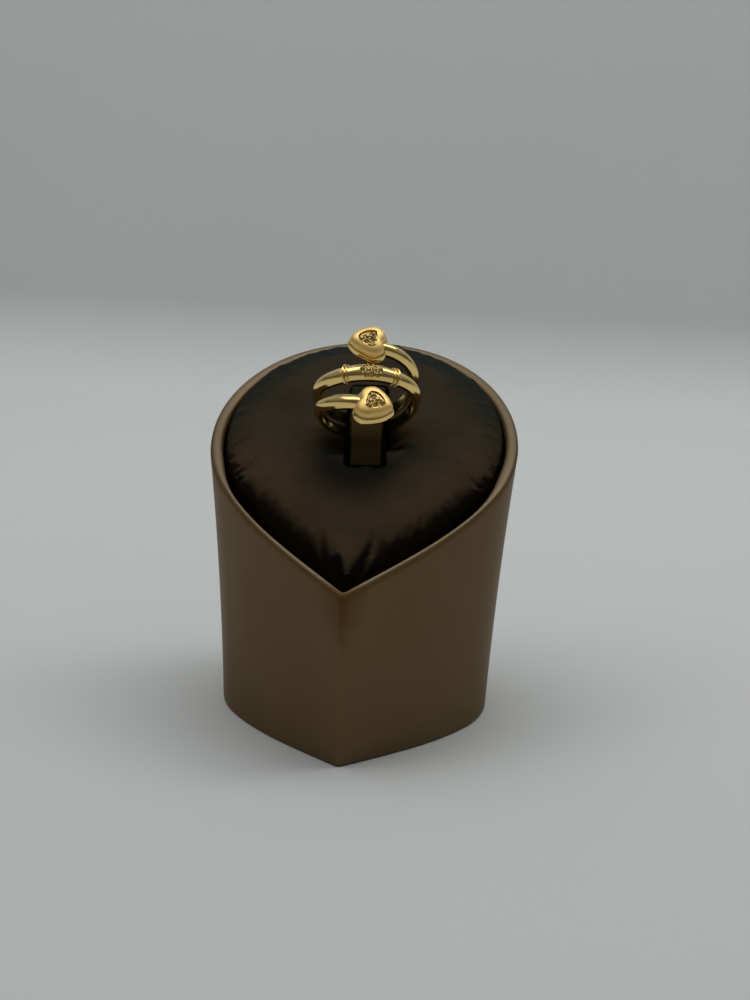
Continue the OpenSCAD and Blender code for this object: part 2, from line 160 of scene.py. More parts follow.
def skin(name, rings, sharp=30):
    """A closed skin over rings of points with equal counts, anticlockwise as seen from the last."""
    rings = np.array(rings)
    m, n = rings.shape[:2]
    faces = [
        (j * n + i, j * n + (i + 1) % n, (j + 1) * n + (i + 1) % n, (j + 1) * n + i)
        for j in range(m - 1) for i in range(n)
    ]
    ends = [tuple(range(n - 1, -1, -1)), tuple(range((m - 1) * n, m * n))]
    mesh = bpy.data.meshes.new(name)
    mesh.from_pydata((rings.reshape(-1, 3) * MM).tolist(), [], faces + ends)
    piece = bpy.data.objects.new(name, mesh)
    scene.collection.objects.link(piece)
    smooth(piece, sharp)
    return piece


def smooth(piece, sharp):
    """Smooth shading, with the edges past an angle in degrees kept crisp."""
    piece.data.shade_smooth()
    piece.data.set_sharp_from_angle(angle=math.radians(sharp))


base = drop_plan(BASE_W / 2, BASE_REACH, EDGE_R)
top = inner_plan(0, 0)
column_rings = []
for turn in np.radians(np.linspace(0, 90, 5)):
    inset = FOOT_R * (1 - math.sin(turn))
    foot = drop_plan(BASE_W / 2 - inset, BASE_REACH - inset * FOOT_REACH, EDGE_R - inset)
    column_rings.append(placed(foot, FOOT_R * (1 - math.cos(turn))))
for t in np.linspace(0, 1, 25)[1:]:
    w = t - 4 * WALL_BOW * t * (1 - t)
    plan = lerp(base, top, w)
    column_rings.append(placed(plan, lerp(FOOT_R, slant_height(top[:, 1]) - RIM_R, t)))
soft = RIM_R / RIM_W
for turn in np.linspace(0, 180, 17)[1:]:  # over the rim, from its outer side to the tray
    c, s = math.cos(math.radians(turn)), math.sin(math.radians(turn))
    share = soft * (1 - c) if turn <= 90 else 1 - soft * (1 + c)
    plan = inner_plan(share * RIM_W, share * RIM_FRONT_W)
    column_rings.append(placed(plan, slant_height(plan[:, 1]) + RIM_R * (s - 1)))
inside = inner_plan(RIM_W, RIM_FRONT_W)
for depth in np.linspace(RIM_R, TRAY_DEPTH, 5)[1:]:
    column_rings.append(placed(inside, slant_height(inside[:, 1]) - depth))
column = skin("stand_column_cover", column_rings, sharp=50)


def linear(colour):
    """A linear colour from its sRGB hex value."""
    parts = [int(colour[i:i + 2], 16) / 255 for i in (1, 3, 5)]
    return [p / 12.92 if p <= 0.04045 else ((p + 0.055) / 1.055) ** 2.4 for p in parts] + [1]


def per(size):
    """A texture's scale for a pattern of that size in millimetres."""
    return 1 / (size * MM)


def add(tree, kind, inputs=None, **settings):
    """One node in a tree, with its settings, and its inputs' values or links."""
    node = tree.nodes.new(kind)
    for name, value in settings.items():
        setattr(node, name, value)
    for key, value in (inputs or {}).items():
        if isinstance(value, bpy.types.NodeSocket):
            tree.links.new(value, node.inputs[key])
        else:
            node.inputs[key].default_value = value
    return node


def new_material(name):
    """An empty material: its tree and the places of its piece's own points."""
    material = bpy.data.materials.new(name)
    material.use_nodes = True
    tree = material.node_tree
    tree.nodes.clear()
    return material, tree, add(tree, "ShaderNodeTexCoord").outputs["Object"]


# Polyurethane leatherette: a calendered film with a bronze pearl pigment and a fine embossed
# grain. The pigment gives it a soft metal sheen, and the grain breaks up its highlights. It is
# rubbed down to its brown base coat at the front edge. Faces turned up, the rim most, are painted
# paler and greyer: a painted highlight of the light from above.
WORN_AT = APEX + Vector((-0.8, 0, -1))
WORN_CORE = 1.5
WORN_REACH = (3.5, 9)
WORN_TALLER = 1.7

leatherette, tree, place = new_material("bronze pearl polyurethane leatherette")
cloud = add(tree, "ShaderNodeTexNoise", {"Vector": place, "Scale": per(14), "Detail": 3.0})
tint = add(tree, "ShaderNodeMix", {
    0: cloud.outputs["Fac"],
    6: linear("#665137"),
    7: linear("#705d41"),
}, data_type="RGBA")
from_apex = add(tree, "ShaderNodeMapping", {
    "Vector": place,
    "Location": WORN_AT * MM,
    "Scale": (1, 1, WORN_TALLER),
}, vector_type="TEXTURE")
ragged = add(tree, "ShaderNodeTexNoise", {"Vector": place, "Scale": per(2.2), "Detail": 4.0})
far = add(tree, "ShaderNodeVectorMath", {0: from_apex.outputs[0]}, operation="LENGTH")
worn_to = add(tree, "ShaderNodeMapRange", {
    "Value": ragged.outputs["Fac"],
    "To Min": WORN_REACH[0] * MM,
    "To Max": WORN_REACH[1] * MM,
})
worn = add(tree, "ShaderNodeMapRange", {
    "Value": far.outputs["Value"],
    "From Min": WORN_CORE * MM,
    "From Max": worn_to.outputs[0],
    "To Min": 0.9,
    "To Max": 0.0,
})
facing = add(tree, "ShaderNodeNewGeometry")
upward = add(tree, "ShaderNodeSeparateXYZ", {0: facing.outputs["Normal"]})
# Painted highlight: faces turned up are made paler and greyer, as if lit more from above; it shows
# most on the rim's top
painted_top_light = add(tree, "ShaderNodeMapRange", {
    "Value": upward.outputs["Z"], "From Min": 0.55, "From Max": 0.95, "To Min": 0.0, "To Max": 0.2,
})
top_lit_colour = add(tree, "ShaderNodeMix", {
    0: painted_top_light.outputs[0], 6: tint.outputs[2], 7: linear("#a8a294"),
}, data_type="RGBA")
cover_colour = add(tree, "ShaderNodeMix", {
    0: worn.outputs[0],
    6: top_lit_colour.outputs[2],
    7: linear("#5c3f17"),
}, data_type="RGBA")
pebble = add(tree, "ShaderNodeTexVoronoi", {
    "Vector": place, "Scale": per(0.55), "Smoothness": 0.6,
}, feature="SMOOTH_F1")
pores = add(tree, "ShaderNodeTexNoise", {"Vector": place, "Scale": per(0.22), "Detail": 2.0})
grain = add(tree, "ShaderNodeMath", {
    0: pebble.outputs["Distance"], 1: pores.outputs["Fac"],
}, operation="ADD")
embossed = add(tree, "ShaderNodeBump", {
    "Height": grain.outputs[0], "Distance": 0.02 * MM, "Strength": 0.5,
})
gloss = add(tree, "ShaderNodeMapRange", {
    "Value": cloud.outputs["Fac"], "To Min": 0.34, "To Max": 0.42,
})
pearl = add(tree, "ShaderNodeMapRange", {
    "Value": worn.outputs[0], "To Min": 0.5, "To Max": 0.0,
})
skin_shader = add(tree, "ShaderNodeBsdfPrincipled", {
    "Base Color": cover_colour.outputs[2],
    "Metallic": pearl.outputs[0],
    "Roughness": gloss.outputs[0],
    "Specular IOR Level": 0.35,
    "Specular Tint": linear("#b8ab92"),
    "Normal": embossed.outputs[0],
})
add(tree, "ShaderNodeOutputMaterial", {"Surface": skin_shader.outputs[0]})

column.data.materials.append(leatherette)
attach(column, "root")
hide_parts("stand_column")

# Stand pad
# A foam cushion covered with dark brown satin, pressed into the tray. It is full at the back,
# sinks under the rim at the front, and has a dent for the ring and a slot for its tab.
PAD_GAP = 0.3
PAD_FRONT_GAP = 2.9
PAD_FRONT_DROP = 2.9
PAD_BACK_RISE = 1.9
PAD_CROWN = 3
PAD_CROWN_Y = -1
PAD_SQUARE = 4
TAB_BACK_W = 6.9
TAB_TURN = math.radians(2.7)
SLOT_ROOM = 0.2
SLOT_FRONT = -9.5
SLOT_BACK = 16.25
SLOT_DEPTH = 3
SLOT_TALL = 12
RING_R = 17.3 / 2
RING_FOOT_Y = -2.7
RING_X = 0.6
RING_LIFT = 10.4
RING_LEAN = math.radians(46.8)
RING_YAW = math.radians(14)
RING_ROLL = math.radians(-4)
TROUGH_R = RING_R + 2.3
TROUGH_BACK = 4.4
TROUGH_FRONT = 7.2
ROUND_FROM = 0.8
ROUND_FADE = 1.2
ROUND_TO = 16
PAD_VOXEL = 0.65
PAD_SHRINK = 0.3
PAD_SWELL = 0.55
PAD_ENDS_Y = (-30, 30)
HELD_UNDER = 1
SIM_SCALE = 10
SIM_FRAMES = 20

slant_at_ring = (
    Matrix.Translation((RING_X, RING_FOOT_Y + BACK_SHIFT, slant_height(RING_FOOT_Y)))
    @ Matrix.Rotation(SLANT, 4, "X")
    @ Matrix.Rotation(TAB_TURN, 4, "Z")
)
at_ring = (
    Matrix.Translation((
        RING_X,
        RING_FOOT_Y + BACK_SHIFT - RING_LIFT * math.sin(SLANT),
        slant_height(RING_FOOT_Y) + RING_LIFT * math.cos(SLANT),
    ))
    @ Matrix.Rotation(RING_YAW, 4, "Z")
    @ Matrix.Rotation(RING_LEAN, 4, "X")
    @ Matrix.Rotation(RING_ROLL, 4, "Y")
)


def in_metres(matrix):
    """A place in millimetres, for a mesh that is already in metres."""
    moved = matrix.copy()
    moved.translation *= MM
    return moved


def as_mesh(piece):
    """The piece with its modifiers worked into a plain mesh."""
    done = piece.evaluated_get(bpy.context.evaluated_depsgraph_get())
    mesh = bpy.data.meshes.new_from_object(done)
    piece.modifiers.clear()
    piece.data = mesh
    return piece


def cut(piece, cutters):
    """Takes the cutters out of the piece and deletes them."""
    for cutter in cutters:
        modifier = piece.modifiers.new("cut", "BOOLEAN")
        modifier.operation = "DIFFERENCE"
        modifier.solver = "MANIFOLD"
        modifier.object = cutter
    as_mesh(piece)
    for cutter in cutters:
        bpy.data.objects.remove(cutter)


pad_plan = inner_plan(RIM_W + PAD_GAP, RIM_FRONT_W + PAD_FRONT_GAP)
crown = np.array([0, PAD_CROWN_Y])
pad_rings = [placed(pad_plan, slant_height(pad_plan[:, 1]) + PAD_GAP - TRAY_DEPTH)]
back_share = (pad_plan[:, 1] + TOP_REACH) / (TOP_REACH + TOP_R)
# Shares of the plan where the pad's crown has a ring: close together at its steep edge
PAD_SHARES = [1, 0.985, 0.96, 0.93, 0.88, 0.82, 0.74, 0.64, 0.52, 0.4, 0.26, 0.12, 0.04]
drop = lerp(PAD_FRONT_DROP, -PAD_BACK_RISE, back_share) + PAD_SHRINK
for share in PAD_SHARES:
    plan = lerp(crown, pad_plan, share)
    rise = (PAD_CROWN - PAD_SHRINK + drop) * (1 - share**PAD_SQUARE) ** 0.5 - drop
    pad_rings.append(placed(plan, slant_height(plan[:, 1]) + rise))
pad = skin("satin_pad", pad_rings)

bpy.ops.mesh.primitive_cylinder_add(
    vertices=96, radius=TROUGH_R * MM, depth=(TROUGH_FRONT + TROUGH_BACK) * MM
)
trough = bpy.context.object
trough.data.transform(
    in_metres(at_ring)
    @ Matrix.Translation((0, (TROUGH_BACK - TROUGH_FRONT) / 2 * MM, 0))
    @ Matrix.Rotation(math.radians(90), 4, "X")
)
bpy.ops.mesh.primitive_cube_add(size=1)
slot = bpy.context.object
slot_size = (TAB_BACK_W + 2 * SLOT_ROOM, SLOT_BACK - SLOT_FRONT, SLOT_TALL)
slot_middle = (0, (SLOT_FRONT + SLOT_BACK) / 2, slot_size[2] / 2 - SLOT_DEPTH)
slot.data.transform(
    in_metres(slant_at_ring)
    @ Matrix.Translation(Vector(slot_middle) * MM)
    @ Matrix.Diagonal(Vector(slot_size) * MM).to_4x4()
)
cut(pad, [trough, slot])

voxels = pad.modifiers.new("voxels", "REMESH")
voxels.mode = "VOXEL"
voxels.voxel_size = PAD_VOXEL * MM
even = pad.modifiers.new("even", "SMOOTH")
even.factor = 0.5
even.iterations = 2
as_mesh(pad)

# The dent's edges beside the tab are rounded further
corners = np.array([corner.co for corner in pad.data.vertices]) / MM
beside = np.abs(corners[:, 0] - RING_X) - TAB_BACK_W / 2
round_trough = pad.vertex_groups.new(name="round trough")
for level in np.linspace(0.1, 1, 10):
    near = (beside > ROUND_FROM + ROUND_FADE * level) & (beside < ROUND_TO)
    round_trough.add(np.flatnonzero(near).tolist(), float(level), "REPLACE")
soften = pad.modifiers.new("soften", "SMOOTH")
soften.factor = 0.5
soften.iterations = 24
soften.vertex_group = "round trough"
as_mesh(pad)
pad.vertex_groups.clear()


def rise_over_rim(points):
    """How far points in millimetres lie over the rim's plane."""
    return points[:, 2] - slant_height(points[:, 1] - BACK_SHIFT)


def swell(pad):
    """Blows the satin up over its foam by a cloth simulation, with its lower edge held fast."""
    start = np.empty(len(pad.data.vertices) * 3, np.float32)
    pad.data.vertices.foreach_get("co", start)
    start = start.reshape(-1, 3)
    mesh = pad.data.copy()
    mesh.transform(Matrix.Scale(SIM_SCALE, 4))
    cloth = bpy.data.objects.new("cloth", mesh)
    scene.collection.objects.link(cloth)
    held = cloth.vertex_groups.new(name="held")
    points = start / MM
    edge = np.interp(points[:, 1], PAD_ENDS_Y, [-PAD_FRONT_DROP, PAD_BACK_RISE])
    low = rise_over_rim(points) < edge - HELD_UNDER
    held.add(np.flatnonzero(low).tolist(), 1, "REPLACE")
    modifier = cloth.modifiers.new("cloth", "CLOTH")
    modifier.settings.quality = 6
    modifier.settings.mass = 0.3
    modifier.settings.vertex_group_mass = "held"
    modifier.settings.use_pressure = True
    modifier.settings.uniform_pressure_force = 4
    modifier.settings.effector_weights.gravity = 0
    modifier.collision_settings.use_collision = False
    for number in range(1, SIM_FRAMES + 1):
        scene.frame_set(number)
    done = cloth.evaluated_get(bpy.context.evaluated_depsgraph_get()).data
    end = np.empty_like(start).ravel()
    done.vertices.foreach_get("co", end)
    move = end.reshape(-1, 3) / SIM_SCALE - start
    far = np.linalg.norm(move, axis=1, keepdims=True)
    most = PAD_SWELL * MM
    move *= np.minimum(1, most / np.maximum(far, most * 0.01))
    pad.data.vertices.foreach_set("co", (start + move).ravel())
    pad.data.update()
    bpy.data.objects.remove(cloth)
    scene.frame_set(1)


swell(pad)
pad.data.shade_smooth()
finer = pad.modifiers.new("finer", "SUBSURF")
finer.levels = 1
finer.render_levels = 1

# Polyester satin: floats of bright yarn over a dull ground. The floats give a soft sheen across
# the weave. A real thread is 0.15 mm wide, and the wave node's bands are 2 pi THREAD apart, which
# draws it coarser. Its colour is painted darker round the ring's dent: painted shade where the
# ring and the tab keep the light off the satin.
THREAD = 0.4
RING_SHADE_AT = Vector((-1, -5, 48))
RING_SHADE_SHAPE = (0.9, 1.2, 1)
RING_SHADE_FROM = 5
RING_SHADE_TO = 12


def satin_material(name, colour, light_colour):
    """Dyed satin: its weave and its uneven dye, with light painted into its colour: a painted sheen
    that turns cooler and darker where it slopes to the back, and painted shade where it rolls down
    into the tray and round the ring's dent."""
    material, tree, place = new_material(name)
    cloud = add(tree, "ShaderNodeTexNoise", {
        "Vector": place, "Scale": per(16), "Detail": 3.0, "Roughness": 0.6,
    })
    uneven = add(tree, "ShaderNodeMapRange", {
        "Value": cloud.outputs["Fac"], "From Min": 0.35, "From Max": 0.65,
    })
    # Painted shade: the colour is made darker round the ring's dent, where the ring and the tab
    # keep light off the satin
    from_ring = add(tree, "ShaderNodeMapping", {
        "Vector": place, "Location": RING_SHADE_AT * MM, "Scale": RING_SHADE_SHAPE,
    }, vector_type="TEXTURE")
    far = add(tree, "ShaderNodeVectorMath", {0: from_ring.outputs[0]}, operation="LENGTH")
    ring_shade = add(tree, "ShaderNodeMapRange", {
        "Value": far.outputs["Value"],
        "From Min": RING_SHADE_FROM * MM,
        "From Max": RING_SHADE_TO * MM,
        "To Min": 0.45,
        "To Max": 1.0,
    }, interpolation_type="SMOOTHSTEP")
    lie = add(tree, "ShaderNodeSeparateXYZ", {
        0: add(tree, "ShaderNodeNewGeometry").outputs["Normal"],
    })
    # Painted sheen: the colour turns cooler and darker where the satin slopes to the back
    away = add(tree, "ShaderNodeMapRange", {
        "Value": lie.outputs["Y"], "From Min": -0.6, "From Max": -0.25,
    })
    sheen = add(tree, "ShaderNodeMix", {
        0: away.outputs[0], 6: (1, 1, 1, 1), 7: (0.15, 0.37, 0.5, 1),
    }, data_type="RGBA")
    # Painted shade: the colour is made darker where the satin rolls down into the gap under the rim
    rolled_down_shade = add(tree, "ShaderNodeMapRange", {
        "Value": lie.outputs["Z"], "From Min": 0.48, "From Max": 0.68, "To Min": 0.1,
    }, interpolation_type="SMOOTHSTEP")
    painted_shade = add(tree, "ShaderNodeMath", {
        0: ring_shade.outputs[0], 1: rolled_down_shade.outputs[0],
    }, operation="MULTIPLY")
    warp = add(tree, "ShaderNodeTexWave", {
        "Vector": place, "Scale": per(THREAD) / 20, "Distortion": 0.6, "Detail Scale": per(2),
    }, bands_direction="X")
    weft = add(tree, "ShaderNodeTexWave", {
        "Vector": place, "Scale": per(THREAD) / 20, "Distortion": 0.6, "Detail Scale": per(2),
    }, bands_direction="Y")
    weave = add(tree, "ShaderNodeMath", {
        0: warp.outputs["Fac"], 1: weft.outputs["Fac"],
    }, operation="MULTIPLY")
    shade = add(tree, "ShaderNodeMix", {
        0: uneven.outputs[0], 6: linear(colour), 7: linear(light_colour),
    }, data_type="RGBA")
    lit = add(tree, "ShaderNodeMix", {
        0: 1.0, 6: shade.outputs[2], 7: sheen.outputs[2],
    }, data_type="RGBA", blend_type="MULTIPLY")
    threads = add(tree, "ShaderNodeBump", {
        "Height": weave.outputs[0], "Distance": 0.05 * MM, "Strength": 0.8,
    })
    # The dyed colour times the painted sheen and the painted shade
    shaded_colour = add(tree, "ShaderNodeMix", {
        0: 1.0, 6: lit.outputs[2], 7: painted_shade.outputs[0],
    }, data_type="RGBA", blend_type="MULTIPLY")
    shader = add(tree, "ShaderNodeBsdfPrincipled", {
        "Base Color": shaded_colour.outputs[2],
        "Roughness": 0.55,
        "Specular IOR Level": 0.03,
        "Sheen Weight": 0.02,
        "Sheen Roughness": 0.35,
        "Sheen Tint": linear("#8a7256"),
        "Normal": threads.outputs[0],
    })
    add(tree, "ShaderNodeOutputMaterial", {"Surface": shader.outputs[0]})
    return material


pad.data.materials.clear()
pad.data.materials.append(satin_material("dark brown polyester satin", "#3b3122", "#4a3a2a"))
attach(pad, "root")
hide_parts("stand_pad")

# Stand tab
# A loop of stiff card covered with the same satin. It rises out of the slot behind the ring,
# passes through it as a finger would, and dips into the slot again in front of it.
TAB_FRONT_W = 6.1
TAB_T = 1.5
TAB_SIDE = 0.42
TAB_SOFT = 0.4
TAB_SOFT_SHARE = 0.02
# Rows of [distance along the pad behind the ring, height over the pad's plane]
TAB_ROWS = [
    (-9.1, 1.7),
    (-7.6, 2.2),
    (-5.4, 2.9),
    (-2.6, 4.1),
    (2.6, 6.0),
    (6.5, 6.9),
    (10.5, 6.0),
    (13.5, 3.8),
    (15.2, 1.2),
    (15.9, -1.6),
]


def smooth_value(rows, x, column=1):
    """A smooth value between a table's rows, by the first column."""
    xs = np.array([row[0] for row in rows], float)
    ys = np.array([row[column] for row in rows], float)
    before = np.maximum(np.arange(len(xs)) - 1, 0)
    after = np.minimum(np.arange(len(xs)) + 1, len(xs) - 1)
    slopes = (ys[after] - ys[before]) / (xs[after] - xs[before])
    i = np.clip(np.searchsorted(xs, x, side="right") - 1, 0, len(xs) - 2)
    span = xs[i + 1] - xs[i]
    t = (x - xs[i]) / span
    return (
        (2 * t**3 - 3 * t**2 + 1) * ys[i] + (t**3 - 2 * t**2 + t) * slopes[i] * span
        + (3 * t**2 - 2 * t**3) * ys[i + 1] + (t**3 - t**2) * slopes[i + 1] * span
    )


def moved(points, matrix):
    """Points carried by a matrix."""
    m = np.array(matrix)
    return points @ m[:3, :3].T + m[:3, 3]


tab_rings = []
tab_first, tab_last = TAB_ROWS[0][0], TAB_ROWS[-1][0]
tab_corners = [(1, 1, 0), (-1, 1, 90), (-1, -1, 180), (1, -1, 270)]
for share in [0, 0.004, 0.012, *np.linspace(TAB_SOFT_SHARE, 1, 70)]:
    s = lerp(tab_first, tab_last, share)
    slope = (smooth_value(TAB_ROWS, s + 0.05) - smooth_value(TAB_ROWS, s - 0.05)) / 0.1
    lean = math.atan(slope)
    inset = TAB_SOFT * (1 - min(share / TAB_SOFT_SHARE, 1)) ** 2
    half_w = lerp(TAB_FRONT_W, TAB_BACK_W, share) / 2 - inset
    thick = TAB_T - inset
    side_r = TAB_SIDE * thick
    section = np.concatenate([
        arc((sx * (half_w - side_r), sz * (thick / 2 - side_r)), side_r, start, start + 90, 9)
        for sx, sz, start in tab_corners
    ])
    v = section[:, 1] - TAB_T / 2
    tab_rings.append(moved(np.column_stack([
        section[:, 0], s - v * math.sin(lean), smooth_value(TAB_ROWS, s) + v * math.cos(lean),
    ]), slant_at_ring))
tab = skin("satin_tab", tab_rings[::-1], sharp=50)
tab.data.materials.append(satin_material("dark brown satin tab", "#392c15", "#47361b"))
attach(tab, "root")
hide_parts("stand_tab")

# Ring band
# One piece of 18 carat gold, wrapped round the finger twice: a bar set with stones between two
# collars in the middle, and an arm on each side that tapers under the finger.
COLLAR_AT = 29.6
COLLAR_PROUD = 0.46
COLLAR_L = 0.55
BEAD_PROUD = 0.26
BEAD_L = 0.36
BEAD_AT = 0.66
CREST = (0.68, 0.76)
FACE_FOOT = 0.42
EDGE_SOFT = 0.16
WRAP_END = 352
BAND_SHARP = 17
# Rows of [turn from the bar's middle, width, height]
BAND_ROWS = [
    (0, 3.5, 1.75),
    (60, 2.9, 1.7),
    (90, 2.65, 1.55),
    (135, 2.3, 1.3),
    (180, 2.05, 1.2),
    (225, 2.2, 1.3),
    (270, 2.3, 1.55),
    (300, 2.75, 1.7),
    (330, 2.8, 1.75),
    (352, 2.6, 1.65),
]
# Rows of [turn, place along the finger]
WRAP_ROWS = [
    (-352, -5.6),
    (-330, -5.35),
    (-300, -4.55),
    (-270, -3.55),
    (-225, -2.3),
    (-180, -1.6),
    (-90, -2.0),
    (-30, -0.5),
    (0, 0),
    (30, 0.45),
    (90, 0.6),
    (180, 1.55),
    (225, 1.5),
    (270, 1.7),
    (300, 3.55),
    (330, 5.4),
    (352, 6.8),
]


def swell_of_collars(turns):
    """How far the collars swell the band: a wide bead and a narrow one inside it."""
    along = (np.abs(turns) - COLLAR_AT) * math.pi / 180 * (RING_R + 1)
    wide = COLLAR_PROUD * np.sqrt(np.maximum(1 - (2 * along / COLLAR_L) ** 2, 0))
    inner = along + BEAD_AT
    narrow = BEAD_PROUD * np.sqrt(np.maximum(1 - (2 * inner / BEAD_L) ** 2, 0))
    return wide + narrow


def crest_r(width, height):
    """Radius of the band's domed crest."""
    a, s = CREST[0] * width / 2, (1 - CREST[1]) * height
    return (a**2 + s**2) / (2 * s)


# The band has a section every 2 degrees, and every quarter degree round its collars
near_collar = np.arange(COLLAR_AT - 8.5, COLLAR_AT + 4, 0.25)
turns = np.unique(np.concatenate([
    np.arange(-WRAP_END, WRAP_END + 1, 2), near_collar, -near_collar,
]).round(3))
proud = swell_of_collars(turns)
widths = smooth_value(BAND_ROWS, np.abs(turns)) + 2 * proud
heights = smooth_value(BAND_ROWS, np.abs(turns), 2) + proud
places = smooth_value(WRAP_ROWS, turns)
rises = smooth_value(WRAP_ROWS, turns + 0.5) - smooth_value(WRAP_ROWS, turns - 0.5)
pitches = np.arctan(rises / (math.pi / 180 * (RING_R + heights / 2)))
a = np.radians(turns)
zero = np.zeros_like(a)
outwards = np.column_stack([np.sin(a), zero, np.cos(a)])
forwards = np.column_stack([np.cos(a), zero, -np.sin(a)])
middles = outwards * RING_R + np.column_stack([zero, -places, zero])
axis = np.array([0, -1, 0])
across = axis * np.cos(pitches)[:, None] - forwards * np.sin(pitches)[:, None]


def carry(mesh, name, kind, values):
    """Writes a value for each point of a mesh."""
    attribute = mesh.attributes.new(name, kind, "POINT")
    field = "vector" if kind == "FLOAT_VECTOR" else "value"
    attribute.data.foreach_set(field, np.asarray(values, np.float32).ravel())


def new_tree(name, inputs):
    """A geometry tree with named inputs: the tree, and what its inputs give."""
    tree = bpy.data.node_groups.new(name, "GeometryNodeTree")
    for label, kind in inputs.items():
        tree.interface.new_socket(label, in_out="INPUT", socket_type="NodeSocket" + kind)
    tree.interface.new_socket("Made", in_out="OUTPUT", socket_type="NodeSocketGeometry")
    return tree, add(tree, "NodeGroupInput").outputs


def named(tree, label, kind):
    """Reads a value that the points carry."""
    node = add(tree, "GeometryNodeInputNamedAttribute", {"Name": label}, data_type=kind)
    return node.outputs["Attribute"]


def grow(name, mesh, tree, sizes):
    """What a tree makes of a mesh, as a plain piece."""
    piece = bpy.data.objects.new(name, mesh)
    scene.collection.objects.link(piece)
    modifier = piece.modifiers.new("grow", "NODES")
    modifier.node_group = tree
    for item in tree.interface.items_tree:
        if item.in_out == "INPUT" and item.name in sizes:
            modifier[item.identifier] = sizes[item.name]
    return as_mesh(piece)


sweep, given = new_tree("band sweep", {
    "Path": "Geometry", "Section": "Object", "Metal": "Material",
})
path = add(sweep, "GeometryNodeMeshToCurve", {"Mesh": given["Path"]})
section = add(sweep, "GeometryNodeObjectInfo", {"Object": given["Section"]})
profile = add(sweep, "GeometryNodeMeshToCurve", {"Mesh": section.outputs["Geometry"]})
swept = add(sweep, "GeometryNodeCurveToMesh", {
    "Curve": path.outputs[0], "Profile Curve": profile.outputs[0], "Fill Caps": True,
})
place_in_section = add(sweep, "ShaderNodeSeparateXYZ", {
    0: named(sweep, "section", "FLOAT_VECTOR"),
})
sideways = add(sweep, "ShaderNodeMath", {
    0: place_in_section.outputs["X"], 1: named(sweep, "half_width", "FLOAT"),
}, operation="MULTIPLY")
up = add(sweep, "ShaderNodeMath", {
    0: place_in_section.outputs["Y"], 1: named(sweep, "height", "FLOAT"),
}, operation="MULTIPLY")
side_step = add(sweep, "ShaderNodeVectorMath", {
    0: named(sweep, "across", "FLOAT_VECTOR"), "Scale": sideways.outputs[0],
}, operation="SCALE")
up_step = add(sweep, "ShaderNodeVectorMath", {
    0: named(sweep, "outwards", "FLOAT_VECTOR"), "Scale": up.outputs[0],
}, operation="SCALE")
step = add(sweep, "ShaderNodeVectorMath", {
    0: side_step.outputs[0], 1: up_step.outputs[0],
}, operation="ADD")
place_on_band = add(sweep, "ShaderNodeVectorMath", {
    0: named(sweep, "middle", "FLOAT_VECTOR"), 1: step.outputs[0],
}, operation="ADD")
set_place = add(sweep, "GeometryNodeSetPosition", {
    "Geometry": swept.outputs[0], "Position": place_on_band.outputs[0],
})
real = add(sweep, "GeometryNodeRealizeInstances", {"Geometry": set_place.outputs[0]})
gilt = add(sweep, "GeometryNodeSetMaterial", {
    "Geometry": real.outputs[0], "Material": given["Metal"],
})
add(sweep, "NodeGroupOutput", {0: gilt.outputs[0]})


def line_mesh(name, points, closed):
    """A mesh of one line through the points."""
    n = len(points)
    edges = [(i, (i + 1) % n) for i in range(n if closed else n - 1)]
    mesh = bpy.data.meshes.new(name)
    mesh.from_pydata(np.asarray(points).tolist(), edges, [])
    return mesh


def band_section():
    """The band's section as shares of half its width and of its height: a low domed crest
    between two sloping faces that meet it in a crisp edge, over upright walls with a soft foot."""
    width, height = BAND_ROWS[0][1:]
    x, y = CREST
    foot = arc((width / 2 - EDGE_SOFT, EDGE_SOFT), EDGE_SOFT, 0, -90, 5) / (width / 2, height)
    wall = [(1, FACE_FOOT * t) for t in (0.75, 0.4)]
    face = np.column_stack([np.linspace(1, x, 5)[:-1], np.linspace(FACE_FOOT, y, 5)[:-1]])
    half = np.concatenate([face[::-1], wall, foot])
    along = np.linspace(-x, x, 13)
    dome = np.column_stack([along, 1 - (1 - y) * (along / x) ** 2])
    points = np.concatenate([half[::-1] * (-1, 1), dome, half])
    return np.column_stack([points, np.zeros(len(points))])


section_mesh = line_mesh("section", band_section() * MM, closed=True)
carry(section_mesh, "section", "FLOAT_VECTOR", band_section())
section_object = bpy.data.objects.new("section", section_mesh)
path_mesh = line_mesh("path", moved(middles, at_ring) * MM, closed=False)
turn_only = at_ring.to_3x3().to_4x4()
carry(path_mesh, "middle", "FLOAT_VECTOR", moved(middles, at_ring) * MM)
carry(path_mesh, "across", "FLOAT_VECTOR", moved(across, turn_only))
carry(path_mesh, "outwards", "FLOAT_VECTOR", moved(outwards, turn_only))
carry(path_mesh, "half_width", "FLOAT", widths / 2 * MM)
carry(path_mesh, "height", "FLOAT", heights * MM)


def gold_material(name, colour, roughness, relief, size):
    """Gold alloy with faint rubbing or a matting in its surface, of that relief and size."""
    material, tree, place = new_material(name)
    lines = add(tree, "ShaderNodeTexNoise", {
        "Vector": place, "Scale": per(size), "Detail": 5.0, "Roughness": 0.6,
    })
    cloud = add(tree, "ShaderNodeTexNoise", {"Vector": place, "Scale": per(1.5), "Detail": 2.0})
    rubbed = add(tree, "ShaderNodeMapRange", {
        "Value": cloud.outputs["Fac"], "To Min": roughness * 0.8, "To Max": roughness * 1.25,
    })
    matting = add(tree, "ShaderNodeBump", {
        "Height": lines.outputs["Fac"], "Distance": relief * MM, "Strength": 0.6,
    })
    shader = add(tree, "ShaderNodeBsdfPrincipled", {
        "Base Color": linear(colour),
        "Metallic": 1.0,
        "Roughness": rubbed.outputs[0],
        "Normal": matting.outputs[0],
    })
    add(tree, "ShaderNodeOutputMaterial", {"Surface": shader.outputs[0]})
    return material


